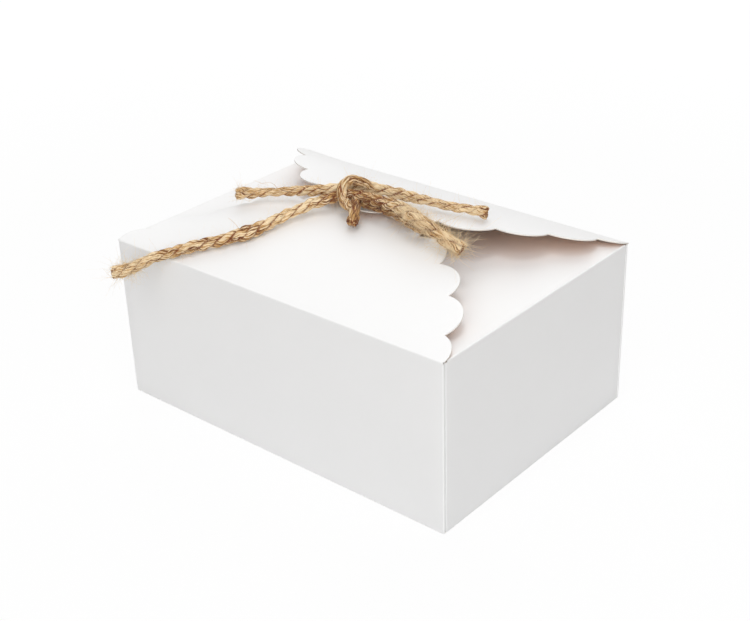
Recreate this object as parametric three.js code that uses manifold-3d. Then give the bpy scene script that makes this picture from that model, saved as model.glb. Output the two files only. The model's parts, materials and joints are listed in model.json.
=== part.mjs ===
// A folded card cake box: a tray of four walls with gusset corners, two dust flaps, two bowed
// lid flaps with scalloped edges, and the jute twine that ties them. Millimetres, +Z up. The
// origin is the middle of the underside, and X runs along the long front wall.
import * as THREE from 'three';
import { mergeVertices } from 'three/addons/utils/BufferGeometryUtils.js';
import Module from 'manifold-3d';

const wasm = await Module();
wasm.setup();

// The box.
const WIDTH = 178;              // along the front wall
const DEPTH = 128;              // from the front wall to the back wall
const HEIGHT = 76;              // from the table to the lid's fold lines
const CARD = 0.5;               // thickness of the card
const FOLD_GAP = 0.4;           // between two panels, measured across their fold line
const LAYER_GAP = 0.3;          // between two layers of card that lie together

// Gussets, the corner webs folded flat inside the long walls.
const GUSSET_DROP = 1.0;        // from the lid's fold line down to a gusset's top edge
const GUSSET_SPACING = 10;      // least space between the two gussets of one wall

// Lid flaps, measured along their sheet from the fold line.
const LID_OVERLAP = 3;          // how far the last notches reach past the middle of the box
const NOTCHES = [               // share of the half width, and share of the reach
  [0.092, 0.182], [0.231, 0.469], [0.411, 0.699], [0.638, 0.887], [0.882, 1],
];
const END_BULGE = 0.20;         // height over chord of the scallop at each end of a flap
const BULGE = 0.28;             // and of every other scallop
const LID_RISE = 14;            // height of the front flap's last notches over its fold line
const LID_BOW = 260;            // radius of the front flap's bow
const TOP_GAP_RIGHT = 1.8;      // from the front flap up to the back flap, near its right end
const TOP_GAP_LEFT = 2.4;       // and near its left end
const TOP_BOW_RIGHT = 300;      // radius of the back flap's bow at its right end
const TOP_BOW_LEFT = 170;       // and at its left end
const CURL_WIDTH = 44;          // over which the left end of a lid flap curls away from the rest
const LID_CURL_TURN = 0;        // degrees that the front flap's fold opens there
const LID_CURL_BOW = 85;        // radius of the bow added there
const TOP_CURL_TURN = 9;        // the same of the back flap
const TOP_CURL_BOW = 340;

// Dust flaps, which fold in from the short walls and lie under the lid.
const DUST_SPACING = 28;        // between the ends of the two flaps
const DUST_INSET = 2.5;         // from the wall's corner to the flap's side, at the fold line
const DUST_TAPER = 0.28;        // inward run of a side for each millimetre of length
const DUST_CORNER = 28;         // radius of the flap's free corners
const DUST_RISE = 0.1;          // height of the free end over the fold line
const DUST_BOW = 2000;          // radius of the flap's slight bow

// Twine.
const TWINE = 4.6;              // diameter
const TWINE_SIDES = 10;
const TWINE_STEP = 9;           // length of one straight piece of a tube
const JOINT_GAP = 0.3;          // between a tail and the knot that it comes out of

// Facets.
const SCALLOP_STEPS = 9;
const CORNER_STEPS = 10;
const BOW_STEPS = 9;            // of a lid flap, from its fold line to its tip
const TWIST_STEPS = 12;         // of a lid flap, from its left end to its right end
const DUST_STEPS = 4;
const WRAP_STEPS = 12;
const KNOT_STEP = 6;            // length of one straight piece of a strand inside the knot

// Worked out from the sizes above.
const REACH = DEPTH / 2 + LID_OVERLAP;
const TOP_RISE_RIGHT = LID_RISE + CARD + TOP_GAP_RIGHT;
const TOP_RISE_LEFT = LID_RISE + CARD + TOP_GAP_LEFT;
const TIE_HEIGHT = HEIGHT + TOP_RISE_LEFT;      // the back flap's top, under the knot

// Routes of the twine, measured from the middle of the lid at the height of the back flap's tip.
const SHORT_STRAND = [          // short tail, through the wrap, to the cut end at the back
  [-55.8, -22.3, -0.7], [-52.7, -20.7, -0.6], [-49.1, -18.8, -0.4], [-45.5, -16.8, 0],
  [-41.7, -14.8, 0.5], [-37.5, -12.8, 1.1], [-33.5, -11.1, 1.8], [-29, -9.8, 2.6],
  [-24.3, -8.7, 3.4], [-20.6, -7.2, 4.1], [-17.4, -5.7, 4.7], [-14.1, -4.1, 5.3],
  [-11.1, -2.4, 5.9], [-8.9, -0.4, 6.3], [-6.7, 1.6, 6.5], [-4.5, 3.2, 6.3], [-1.9, 4.7, 5.8],
  [0.9, 6.2, 5.2], [4.2, 8, 4.5], [7.4, 9.7, 3.8], [10.8, 11.3, 3.2], [15.5, 13.1, 2.5],
  [21.8, 15, 1.8], [29.3, 17, 1.1], [35.7, 19.6, 0.6], [40.8, 21.6, 0.2], [44.9, 23.2, -0.1],
];
const LONG_STRAND = [           // long tail over the front wall, through the wrap, to the front end
  [-71.6, -81.9, -20.9], [-67.7, -78.3, -19.7], [-63.5, -73.3, -17.7], [-61, -69.6, -16],
  [-57.8, -66.6, -14.6], [-54.6, -63.7, -13.7], [-51.5, -60.6, -12.6], [-48.3, -57.6, -11.5],
  [-44.9, -54.8, -10.5], [-41.7, -51.9, -9.6], [-38.5, -49, -8.8], [-35.7, -45.6, -7.8],
  [-32.8, -42.4, -6.9], [-30.5, -38.7, -6], [-28.5, -34.4, -5], [-26.9, -30.2, -4],
  [-25.3, -26, -2.8], [-23.4, -22, -1.7], [-21.1, -18.4, -0.6], [-18.9, -14.8, 0.6],
  [-15.9, -12, 1.8], [-12.8, -9.2, 3], [-10.1, -7.1, 4], [-6.7, -5.6, 4.9], [-2.3, -5.2, 5.7],
  [2.9, -5.7, 6.3], [7.7, -6.2, 6.7], [11.9, -6.6, 7], [16.4, -6.7, 7.3], [21.1, -6.9, 7.4],
  [26.5, -8, 7.2], [32, -9.5, 6.7], [37, -10.5, 6], [42.3, -11.5, 4.9], [46.9, -12.2, 3.7],
  [51.3, -12.2, 2.3], [54.9, -12.3, 1], [58.3, -12, -0.5],
];
const TUCKED_STRAND = [         // from the knot along the back flap's tip, then down under it
  [-2.6, -4.9, 2.6], [1.5, -4.3, 2.6], [5.6, -4.1, 2.6], [10, -4.2, 2.7], [14.5, -4.5, 2.7],
  [19, -5, 2.6], [23.1, -5.7, 2.2], [27.2, -6.3, 1.3], [31, -6, 0.1], [34.1, -4.2, -1.1],
  [35.5, -1, -3], [35.6, 3, -4.6], [34.2, 6.8, -5.8], [31.8, 10.6, -6.6], [29, 14.2, -7.2],
  [26, 17.7, -7.8], [22.6, 21, -8.4],
];
const WRAP = [                  // from the back end's root over the strands and under them
  [-1.1, 4.6, 6.3], [-2.4, 1.9, 8.4], [-4.4, -0.5, 10], [-6.8, -2.7, 10.5], [-7.8, -5.3, 9.7],
  [-7.7, -7.2, 7.9], [-6.9, -8.4, 5.6], [-5.2, -9.3, 3.5], [-2.1, -9.8, 2.5], [0.3, -8.6, 2.5],
];
const STUB = [                  // the wrap's own cut end, which points down the front flap
  [0, -7.6, 3.9], [2, -10.4, 3.1], [3.6, -12.8, 2.1], [4.8, -15, 0.5], [5.8, -16.8, -1.3],
];
const SHORT_KNOT = [43.5, 66.5];        // where the strands run in the knot, from their first points
const LONG_KNOT = [98, 134.5];
const TUCKED_KNOT = [0, 24.5];

const cardMaterial = () => new THREE.MeshStandardMaterial({ color: 0xf3f3f2, roughness: 0.75, metalness: 0 });
const twineMaterial = () => new THREE.MeshStandardMaterial({ color: 0xb18d5f, roughness: 0.95, metalness: 0 });

/** A named mesh with its own material. */
function piece(name, geometry, material) {
  const mesh = new THREE.Mesh(geometry, material());
  mesh.name = name;
  return mesh;
}

/** A closed mesh as a solid that can be joined and cut. */
function solid(geometry) {
  const bare = geometry.clone();
  bare.deleteAttribute('normal');
  bare.deleteAttribute('uv');
  const merged = mergeVertices(bare, 1e-4);
  return new wasm.Manifold(new wasm.Mesh({
    numProp: 3,
    vertProperties: new Float32Array(merged.getAttribute('position').array),
    triVerts: new Uint32Array(merged.getIndex().array),
  }));
}

/** A solid back as a geometry. */
function geometryOf(body) {
  const mesh = body.getMesh();
  const geometry = new THREE.BufferGeometry();
  geometry.setAttribute('position', new THREE.BufferAttribute(mesh.vertProperties, 3));
  geometry.setIndex(new THREE.BufferAttribute(mesh.triVerts, 1));
  geometry.computeVertexNormals();
  return geometry;
}

/** Closes two grids of points, the upper(u, v) over the lower(u, v), into one plate. */
function plate(upper, lower, columns, rows) {
  const positions = [];
  const indices = [];
  const across = columns + 1;
  const layer = across * (rows + 1);
  for (const side of [upper, lower]) {
    for (let j = 0; j <= rows; j += 1) {
      for (let i = 0; i <= columns; i += 1) positions.push(...side(i / columns, j / rows));
    }
  }
  const quad = (a, b, c, d) => indices.push(a, b, c, a, c, d);
  for (let j = 0; j < rows; j += 1) {
    for (let i = 0; i < columns; i += 1) {
      const a = j * across + i;
      quad(a, a + 1, a + 1 + across, a + across);
      quad(layer + a, layer + a + across, layer + a + 1 + across, layer + a + 1);
    }
  }
  for (let i = 0; i < columns; i += 1) {
    const far = rows * across + i;
    quad(i, i + layer, i + 1 + layer, i + 1);
    quad(far, far + 1, far + 1 + layer, far + layer);
  }
  for (let j = 0; j < rows; j += 1) {
    const left = j * across;
    const right = left + columns;
    quad(left, left + across, left + across + layer, left + layer);
    quad(right, right + layer, right + across + layer, right + across);
  }
  const geometry = new THREE.BufferGeometry();
  geometry.setAttribute('position', new THREE.Float32BufferAttribute(positions, 3));
  geometry.setIndex(indices);
  geometry.computeVertexNormals();
  return geometry;
}

/** A flat panel between four folds: outer face on z = 0, edges mitred at 45 degrees. */
function panel(width, height) {
  const face = (inset, z) => (u, v) => [
    (u - 0.5) * (width - 2 * inset), (v - 0.5) * (height - 2 * inset), z,
  ];
  const outer = FOLD_GAP / 2;
  return plate(face(outer, 0), face(outer + CARD, -CARD), 1, 1);
}

/** Fold angle of a sheet with this bow radius whose height at this length is the rise. */
function foldAngle(radius, rise, length) {
  const half = length / (2 * radius);
  return half + Math.asin(rise / (2 * radius * Math.sin(half)));
}

/** How a flap bows: its height and run at a length s along the sheet, and its normal. */
function bowedSheet(length, left, right, width, curl = { hand: 0, turn: 0, bow: Infinity }) {
  const state = (x, s) => {
    const k = x / width + 0.5;
    const near = THREE.MathUtils.smoothstep(curl.hand * x, width / 2 - CURL_WIDTH, width / 2);
    const curve = THREE.MathUtils.lerp(1 / left.radius, 1 / right.radius, k) + near / curl.bow;
    const start = THREE.MathUtils.lerp(
      foldAngle(left.radius, left.rise, length), foldAngle(right.radius, right.rise, length), k,
    ) + near * THREE.MathUtils.degToRad(curl.turn);
    return { curve, start, slope: start - s * curve };
  };
  const top = (x, s) => {
    const { curve, start, slope } = state(x, s);
    return [x, (Math.sin(start) - Math.sin(slope)) / curve, (Math.cos(slope) - Math.cos(start)) / curve];
  };
  const under = (x, s) => {
    const { slope } = state(x, s);
    const [, y, z] = top(x, s);
    return [x, y + CARD * Math.sin(slope), z - CARD * Math.cos(slope)];
  };
  return { top, under };
}

/** A flap cut to an outline, given as points of [x, length along the sheet]. */
function flap(outline, sheet, width, columns, rows) {
  const length = Math.max(...outline.map(([, s]) => s)) + CARD;
  const blank = plate(
    (u, v) => sheet.top((u - 0.5) * (width - FOLD_GAP), FOLD_GAP / 2 + v * length),
    (u, v) => sheet.under((u - 0.5) * (width - FOLD_GAP), FOLD_GAP / 2 + CARD + v * length),
    columns, rows,
  );
  const plan = outline.map(([x, s]) => {
    const [px, py] = sheet.top(x, s);
    return new THREE.Vector2(px, py);
  });
  const tall = 2 * (TOP_RISE_LEFT + CARD);
  const cutter = new THREE.ExtrudeGeometry(new THREE.Shape(plan), { depth: 2 * tall, bevelEnabled: false });
  cutter.translate(0, 0, -tall);
  return geometryOf(solid(blank).intersect(solid(cutter)));
}

/** Points of the arc from p to q that stands bulge times its chord out on the left of the way. */
function scallop(p, q, bulge) {
  const chord = q.clone().sub(p);
  const span = chord.length();
  const rise = bulge * span;
  const radius = (span * span / 4 + rise * rise) / (2 * rise);
  const along = chord.divideScalar(span);
  const out = new THREE.Vector2(-along.y, along.x);
  const centre = p.clone().add(q).multiplyScalar(0.5).addScaledVector(out, rise - radius);
  const half = Math.asin(span / 2 / radius);
  return Array.from({ length: SCALLOP_STEPS }, (_, i) => {
    const t = half * (2 * i / SCALLOP_STEPS - 1);
    return centre.clone()
      .addScaledVector(along, radius * Math.sin(t)).addScaledVector(out, radius * Math.cos(t)).toArray();
  });
}

/** Outline of a lid flap: scallops between notches, alike on both sides of its middle. */
function lidOutline() {
  const half = WIDTH / 2;
  const left = NOTCHES.map(([x, s]) => new THREE.Vector2(half * (x - 1), REACH * s));
  const right = left.map((n) => new THREE.Vector2(-n.x, n.y)).reverse();
  const corners = [new THREE.Vector2(-half, 0), ...left, ...right, new THREE.Vector2(half, 0)];
  const arcs = corners.slice(1).map((corner, i) => {
    const end = i === 0 || i === corners.length - 2;
    return scallop(corners[i], corner, end ? END_BULGE : BULGE);
  });
  return [...arcs.flat(), [half, 0]];
}

/** Outline of a dust flap: tapered sides that run into round free corners. */
function dustOutline(length) {
  const endHalf = DEPTH / 2 - DUST_INSET - DUST_TAPER * length;
  const corner = Math.min(DUST_CORNER, endHalf - CARD);
  const straight = length - corner;
  const side = [[DEPTH / 2 - DUST_INSET, 0]];
  for (let i = 0; i <= CORNER_STEPS; i += 1) {
    const turn = Math.PI / 2 * i / CORNER_STEPS;
    const s = straight + corner * Math.sin(turn);
    side.push([DEPTH / 2 - DUST_INSET - DUST_TAPER * s - corner * (1 - Math.cos(turn)), s]);
  }
  return [...side, ...side.map(([x, s]) => [-x, s]).reverse()];
}

/** One half of a gusset: a card triangle with its upright edge at the corner of the tray. */
function gussetHalf() {
  const start = CARD + LAYER_GAP;
  const top = HEIGHT - GUSSET_DROP;
  const reach = Math.min(top, WIDTH / 2 - GUSSET_SPACING / 2);
  const shape = new THREE.Shape();
  shape.moveTo(start, start);
  shape.lineTo(reach, reach);
  if (reach < top) shape.lineTo(reach, top);
  shape.lineTo(start, top);
  const geometry = new THREE.ExtrudeGeometry(shape, { depth: CARD, bevelEnabled: false });
  geometry.rotateX(Math.PI / 2);
  geometry.translate(0, CARD, 0);
  return geometry;
}

/** A wall with its flap, facing -Y, in a group turned to its side of the box. */
function side(name, turn, width, offset, flapGeometry) {
  const group = new THREE.Group();
  group.rotation.z = turn;
  const wall = piece(`${name}_wall`, panel(width, HEIGHT), cardMaterial);
  wall.rotation.x = Math.PI / 2;
  wall.position.set(0, -offset, HEIGHT / 2);
  const lid = piece(`${name}_flap`, flapGeometry, cardMaterial);
  lid.position.set(0, -offset, HEIGHT);
  group.add(wall, lid);
  return group;
}

/** The two gussets of a long wall: each an outer half by the wall and an inner half on it. */
function addGussets(group, name, leftName, rightName) {
  const layer = CARD + LAYER_GAP;
  for (const [corner, hand] of [[leftName, 1], [rightName, -1]]) {
    for (const [half, depth] of [['outer', layer], ['inner', 2 * layer]]) {
      const geometry = gussetHalf();
      if (hand < 0) geometry.rotateZ(Math.PI).translate(0, CARD, 0);
      const gusset = piece(`${name}_${corner}_gusset_${half}`, geometry, cardMaterial);
      gusset.position.set(-hand * WIDTH / 2, -DEPTH / 2 + depth, 0);
      group.add(gusset);
    }
  }
}

/** The lid and dust flaps, the walls and the base. */
function makeBox() {
  const box = new THREE.Group();
  const even = (radius, rise) => ({ radius, rise });
  const lidSheet = bowedSheet(
    REACH, even(LID_BOW, LID_RISE), even(LID_BOW, LID_RISE), WIDTH,
    { hand: -1, turn: LID_CURL_TURN, bow: LID_CURL_BOW },
  );
  const topSheet = bowedSheet(
    REACH, even(TOP_BOW_RIGHT, TOP_RISE_RIGHT), even(TOP_BOW_LEFT, TOP_RISE_LEFT), WIDTH,
    { hand: 1, turn: TOP_CURL_TURN, bow: TOP_CURL_BOW },
  );
  const dustLength = (WIDTH - DUST_SPACING) / 2;
  const dustSheet = bowedSheet(dustLength, even(DUST_BOW, DUST_RISE), even(DUST_BOW, DUST_RISE), DEPTH);
  const dust = () => flap(dustOutline(dustLength), dustSheet, DEPTH, 1, DUST_STEPS);
  const lower = flap(lidOutline(), lidSheet, WIDTH, TWIST_STEPS, BOW_STEPS);
  const upper = flap(lidOutline(), topSheet, WIDTH, TWIST_STEPS, BOW_STEPS);
  const front = side('front', 0, WIDTH, DEPTH / 2, lower);
  const back = side('back', Math.PI, WIDTH, DEPTH / 2, upper);
  addGussets(front, 'front', 'left', 'right');
  addGussets(back, 'back', 'right', 'left');
  const base = piece('base_panel', panel(WIDTH, DEPTH), cardMaterial);
  base.rotation.x = Math.PI;
  box.add(
    base, front, back,
    side('right', Math.PI / 2, DEPTH, WIDTH / 2, dust()),
    side('left', -Math.PI / 2, DEPTH, WIDTH / 2, dust()),
  );
  return box;
}

/** The part of a curve between two lengths along it. */
class Stretch extends THREE.Curve {
  constructor(curve, from, to) {
    super();
    this.curve = curve;
    this.total = curve.getLength();
    this.from = from;
    this.to = to;
  }

  getPoint(t, target = new THREE.Vector3()) {
    return this.curve.getPointAt(THREE.MathUtils.lerp(this.from, this.to, t) / this.total, target);
  }
}

/** A smooth curve through a route's points, set at the height of the tie. */
function strand(points) {
  const curve = new THREE.CatmullRomCurve3(
    points.map(([x, y, z]) => new THREE.Vector3(x, y, z + TIE_HEIGHT)), false, 'centripetal',
  );
  curve.arcLengthDivisions = 600;
  return curve;
}

/** A round tube along the stretch of a curve. */
function tube(curve, from, to, steps = Math.round((to - from) / TWINE_STEP)) {
  const section = Array.from({ length: TWINE_SIDES }, (_, i) => {
    const turn = 2 * Math.PI * i / TWINE_SIDES;
    return new THREE.Vector2(Math.cos(turn), Math.sin(turn)).multiplyScalar(TWINE / 2);
  });
  return new THREE.ExtrudeGeometry(new THREE.Shape(section), {
    extrudePath: new Stretch(curve, from, to), steps, bevelEnabled: false,
  });
}

/** The knot, pulled tight into one body, with the tails and the tucked strand that leave it. */
function makeTwine() {
  const twine = new THREE.Group();
  const short = strand(SHORT_STRAND);
  const long = strand(LONG_STRAND);
  const tucked = strand(TUCKED_STRAND);
  const wrap = strand(WRAP);
  const stub = strand(STUB);
  const inKnot = (curve, [from, to]) => tube(curve, from, to, Math.round((to - from) / KNOT_STEP));
  const knot = [
    inKnot(short, SHORT_KNOT), inKnot(long, LONG_KNOT), inKnot(tucked, TUCKED_KNOT),
    tube(wrap, 0, wrap.getLength(), WRAP_STEPS), inKnot(stub, [0, stub.getLength()]),
  ].map(solid).reduce((sum, next) => sum.add(next));
  const tail = (name, curve, from, to) => piece(name, tube(curve, from, to), twineMaterial);
  twine.add(
    piece('twine_knot', geometryOf(knot), twineMaterial),
    tail('twine_tail_short', short, 0, SHORT_KNOT[0] - JOINT_GAP),
    tail('twine_end_back', short, SHORT_KNOT[1] + JOINT_GAP, short.getLength()),
    tail('twine_tail_long', long, 0, LONG_KNOT[0] - JOINT_GAP),
    tail('twine_end_front', long, LONG_KNOT[1] + JOINT_GAP, long.getLength()),
    tail('twine_tuck', tucked, TUCKED_KNOT[1] + JOINT_GAP, tucked.getLength()),
  );
  return twine;
}

const cakeBox = new THREE.Group();
cakeBox.add(makeBox(), makeTwine());
export default cakeBox;
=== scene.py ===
"""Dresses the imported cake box: creased card panels, laid jute twine, a plain stage and the camera."""

import json
import math

import bmesh
import bpy
import numpy as np
from bpy.props import FloatProperty, FloatVectorProperty, IntProperty, PointerProperty
from mathutils import Matrix, Vector


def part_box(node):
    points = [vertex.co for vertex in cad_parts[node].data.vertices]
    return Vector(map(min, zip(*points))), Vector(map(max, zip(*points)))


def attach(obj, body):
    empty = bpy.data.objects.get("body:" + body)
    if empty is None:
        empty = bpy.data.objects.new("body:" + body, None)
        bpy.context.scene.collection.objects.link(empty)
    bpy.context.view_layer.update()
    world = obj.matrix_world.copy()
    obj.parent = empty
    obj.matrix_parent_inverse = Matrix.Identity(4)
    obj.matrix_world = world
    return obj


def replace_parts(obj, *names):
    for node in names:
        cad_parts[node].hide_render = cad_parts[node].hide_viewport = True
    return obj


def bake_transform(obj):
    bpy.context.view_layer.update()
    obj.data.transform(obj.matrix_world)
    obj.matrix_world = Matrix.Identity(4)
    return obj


bl_info = {
    "name": "Cake Box",
    "version": (1, 0, 0),
    "blender": (4, 5, 0),
    "location": "View3D > Sidebar > Cake Box",
    "description": "Builds a folded card cake box with scalloped lid flaps, tied with jute twine",
    "category": "Object",
}

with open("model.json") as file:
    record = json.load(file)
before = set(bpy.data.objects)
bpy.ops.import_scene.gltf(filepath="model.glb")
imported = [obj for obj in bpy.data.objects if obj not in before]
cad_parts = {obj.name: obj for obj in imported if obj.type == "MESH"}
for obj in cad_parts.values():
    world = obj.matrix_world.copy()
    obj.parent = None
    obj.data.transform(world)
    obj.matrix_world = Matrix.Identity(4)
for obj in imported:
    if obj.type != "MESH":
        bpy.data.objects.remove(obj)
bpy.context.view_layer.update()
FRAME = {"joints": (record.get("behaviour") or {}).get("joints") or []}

LONG_WALL, SHORT_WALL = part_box("front_wall"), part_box("right_wall")
FOLD_HEIGHT = FRAME["joints"][0]["pos_m"][2]
SIDES = {  # body of the flap, and whether it is a lid flap
    "front": ("front_lid", True),
    "back": ("back_lid", True),
    "right": ("right_dust_flap", False),
    "left": ("left_dust_flap", False),
}

# Lid flap notches: share of the half width, and share of the reach.
NOTCHES = ((0.092, 0.182), (0.231, 0.469), (0.411, 0.699), (0.638, 0.887), (0.882, 1.0))
SCALLOP_STEPS = 14
FOOT_SHARE = 0.8  # how far out a grid line of a flap starts, as a share of where it ends
LID_SHARE = 0.99  # how much of a lid flap's reach holds fibres up
LAYER_GAP = 0.0003  # between two layers of card that lie together
WEB_GAP = 0.012  # least space between the two webs of one long wall

# Grid steps of the card.
FLAP_ROWS = 25  # from a flap's fold to its outline
CREASE_ROWS = 9
WALL_STEPS = 31  # along a wall, between its upright edges
EDGE_STEPS = 10  # round an upright edge
FOOT_STEPS = 5  # up the round at a wall's foot
RISE_STEPS = 16  # from there to the fold line
BASE_STEPS = 25
BASE_EDGE_STEPS = 4
WEB_ROWS = 40
WEB_STEPS = 12  # along one half of a web
HAIRPIN_STEPS = 13
DUST_SIDE_STEPS = 12
DUST_CORNER_STEPS = 18
DUST_END_STEPS = 9
DUST_FOOT = 0.1  # where the grid line of a free end's corner starts, as a share of the half width

# The twine's routes in metres, from the middle of the lid at the height of the back flap's tip.
TIE_HEIGHT = 0.0929
SHORT_STRAND = (
    (-0.0558, -0.0223, -0.0007), (-0.0527, -0.0207, -0.0006), (-0.0491, -0.0188, -0.0004),
    (-0.0455, -0.0168, 0), (-0.0417, -0.0148, 0.0005), (-0.0375, -0.0128, 0.0011),
    (-0.0335, -0.0111, 0.0018), (-0.029, -0.0098, 0.0026), (-0.0243, -0.0087, 0.0034),
    (-0.0206, -0.0072, 0.0041), (-0.0174, -0.0057, 0.0047), (-0.0141, -0.0041, 0.0053),
    (-0.0111, -0.0024, 0.0059), (-0.0089, -0.0004, 0.0063), (-0.0067, 0.0016, 0.0065),
    (-0.0045, 0.0032, 0.0063), (-0.0019, 0.0047, 0.0058), (0.0009, 0.0062, 0.0052),
    (0.0042, 0.008, 0.0045), (0.0074, 0.0097, 0.0038), (0.0108, 0.0113, 0.0032),
    (0.0155, 0.0131, 0.0025), (0.0218, 0.015, 0.0018), (0.0293, 0.017, 0.0011),
    (0.0357, 0.0196, 0.0006), (0.0408, 0.0216, 0.0002), (0.0449, 0.0232, -0.0001),
)
LONG_STRAND = (
    (-0.0716, -0.0819, -0.0209), (-0.0677, -0.0783, -0.0197), (-0.0635, -0.0733, -0.0177),
    (-0.061, -0.0696, -0.016), (-0.0578, -0.0666, -0.0146), (-0.0546, -0.0637, -0.0137),
    (-0.0515, -0.0606, -0.0126), (-0.0483, -0.0576, -0.0115), (-0.0449, -0.0548, -0.0105),
    (-0.0417, -0.0519, -0.0096), (-0.0385, -0.049, -0.0088), (-0.0357, -0.0456, -0.0078),
    (-0.0328, -0.0424, -0.0069), (-0.0305, -0.0387, -0.006), (-0.0285, -0.0344, -0.005),
    (-0.0269, -0.0302, -0.004), (-0.0253, -0.026, -0.0028), (-0.0234, -0.022, -0.0017),
    (-0.0211, -0.0184, -0.0006), (-0.0189, -0.0148, 0.0006), (-0.0159, -0.012, 0.0018),
    (-0.0128, -0.0092, 0.003), (-0.0101, -0.0071, 0.004), (-0.0067, -0.0056, 0.0049),
    (-0.0023, -0.0052, 0.0057), (0.0029, -0.0057, 0.0063), (0.0077, -0.0062, 0.0067),
    (0.0119, -0.0066, 0.007), (0.0164, -0.0067, 0.0073), (0.0211, -0.0069, 0.0074),
    (0.0265, -0.008, 0.0072), (0.032, -0.0095, 0.0067), (0.037, -0.0105, 0.006),
    (0.0423, -0.0115, 0.0049), (0.0469, -0.0122, 0.0037), (0.0513, -0.0122, 0.0023),
    (0.0549, -0.0123, 0.001), (0.0583, -0.012, -0.0005),
)
TUCKED_STRAND = (
    (-0.0026, -0.0049, 0.0026), (0.0015, -0.0043, 0.0026), (0.0056, -0.0041, 0.0026),
    (0.01, -0.0042, 0.0027), (0.0145, -0.0045, 0.0027), (0.019, -0.005, 0.0026),
    (0.0231, -0.0057, 0.0022), (0.0272, -0.0063, 0.0013), (0.031, -0.006, 0.0001),
    (0.0341, -0.0042, -0.0011), (0.0355, -0.001, -0.003), (0.0356, 0.003, -0.0046),
    (0.0342, 0.0068, -0.0058), (0.0318, 0.0106, -0.0066), (0.029, 0.0142, -0.0072),
    (0.026, 0.0177, -0.0078), (0.0226, 0.021, -0.0084),
)
WRAP = (
    (0.0012, 0.0052, 0.0044), (-0.0014, 0.0036, 0.0066), (-0.0026, 0.0017, 0.0084), (-0.0044, -0.0005, 0.01),
    (-0.0068, -0.0027, 0.0105), (-0.0078, -0.0053, 0.0097), (-0.0077, -0.0072, 0.0079),
    (-0.0069, -0.0084, 0.0056), (-0.0052, -0.0093, 0.0035), (-0.0021, -0.0098, 0.0025),
    (0.0003, -0.0086, 0.0025),
)
STUB = (
    (0, -0.0076, 0.0039), (0.002, -0.0104, 0.0031), (0.0036, -0.0128, 0.0021),
    (0.0048, -0.015, 0.0005), (0.0058, -0.0168, -0.0013),
)
STRAYS = {  # long single fibres, each by the four points that steer its curve
    "twine_tail_short": (
        ((-0.0429, -0.0172, 0.0048), (-0.0442, -0.0183, 0.0048), (-0.0458, -0.019, 0.0058),
         (-0.0473, -0.02, 0.0063)),
        ((-0.0388, -0.0148, 0.0031), (-0.0404, -0.0148, 0.0051), (-0.0427, -0.016, 0.0063),
         (-0.0457, -0.0198, 0.0045)),
    ),
    "twine_tail_long": (
        ((-0.0336, -0.0437, -0.0044), (-0.0352, -0.0437, -0.0025), (-0.0369, -0.0442, -0.001),
         (-0.0384, -0.0449, -0.0002)),
    ),
    "twine_end_front": (
        ((0.0583, -0.0131, 0.0011), (0.0583, -0.0143, -0.0006), (0.0572, -0.0162, -0.002),
         (0.0555, -0.0184, -0.0029)),
    ),
}
FRAYS = {  # more fibres near a cut end: stretch, fibres to a metre, seed, longest, spread and width
    "twine_end_front": ((0.034, 34000, 71, 0.0022, 1.2, 0.00011), (0.006, 36000, 74, 0.0028, 1.6, 0.00009)),
    "twine_tail_long": ((0.012, 40000, 72, 0.0014, 1.2, 0.0001),),
    "twine_tail_short": ((0.005, 26000, 73, 0.0014, 1.2, 0.00009),),
}
SHORT_KNOT = (0.0433, 0.0667)  # where the strands run in the knot
LONG_KNOT = (0.0978, 0.1347)
TUCKED_KNOT = (0.0, 0.0246)
STATION = 0.0005  # between two rings of a fibre bundle, along the strand
CURVE_STEPS = 60  # from one point of a route to the next, before it is resampled
SMOOTH_ANGLE = math.radians(35)
MERGE, THIN = 1e-6, 1e-7  # points of a sheet that are one, and edges too short to keep

# A laid strand, in shares of its thickness.
PLY_OUT = 0.205  # from the strand's middle to a ply's
PLY_RING = 0.250  # from a ply's middle to its fibre bundles
PLY_CORE = 0.238  # radius of the plain core inside the bundles
BUNDLE = 0.034  # radius of a bundle
BUNDLE_FLAT = 1.3  # its width over its height
BUNDLE_GIRTHS = (0.7, 1.35)  # thinnest and thickest bundle
BUNDLE_SIDES = 5
CORE_SIDES = 8
TINT_SPREAD = 0.8  # between one bundle and another
CORE_SHADE_TINT, CORE_PAINTED_SHADE = -0.5, 0.15  # of the core, which shows between the bundles: a darker tint and painted shade there
SHADE_BETWEEN_PLIES = (0.345, 0.05)  # where the painted shade between the plies starts, and how fast it deepens inwards
UNEVEN = {  # how far each measure of a strand wanders, and the length of its longest wave
    "ply_turn": (0.22, 0.021),
    "ply_girth": (0.10, 0.017),
    "ply_out": (0.05, 0.019),
    "bundle_turn": (0.13, 0.012),
    "bundle_out": (0.055, 0.010),
    "bundle_girth": (0.22, 0.009),
    "bundle_tint": (0.5, 0.014),
}
WAVES = 4  # sines in one wandering curve
WAVE_RATIO, WAVE_FALL = 1.7, 0.75  # length of one over the next one's, and the next one's height over its
WAVE_SPREAD = (0.8, 1.25)
WAVE_PEAK = 1.6  # usual greatest height of the sum
CUT_REACH = 0.0045  # over which the bundles of a cut end come apart
CUT_UNEVEN = (-0.0009, 0.0005)  # how far they stop short of it or stand past it
CUT_STATIONS = 1.3  # how many of them a cut end's own tint reaches over
STUB_CUT_TINT = -2.2

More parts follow.
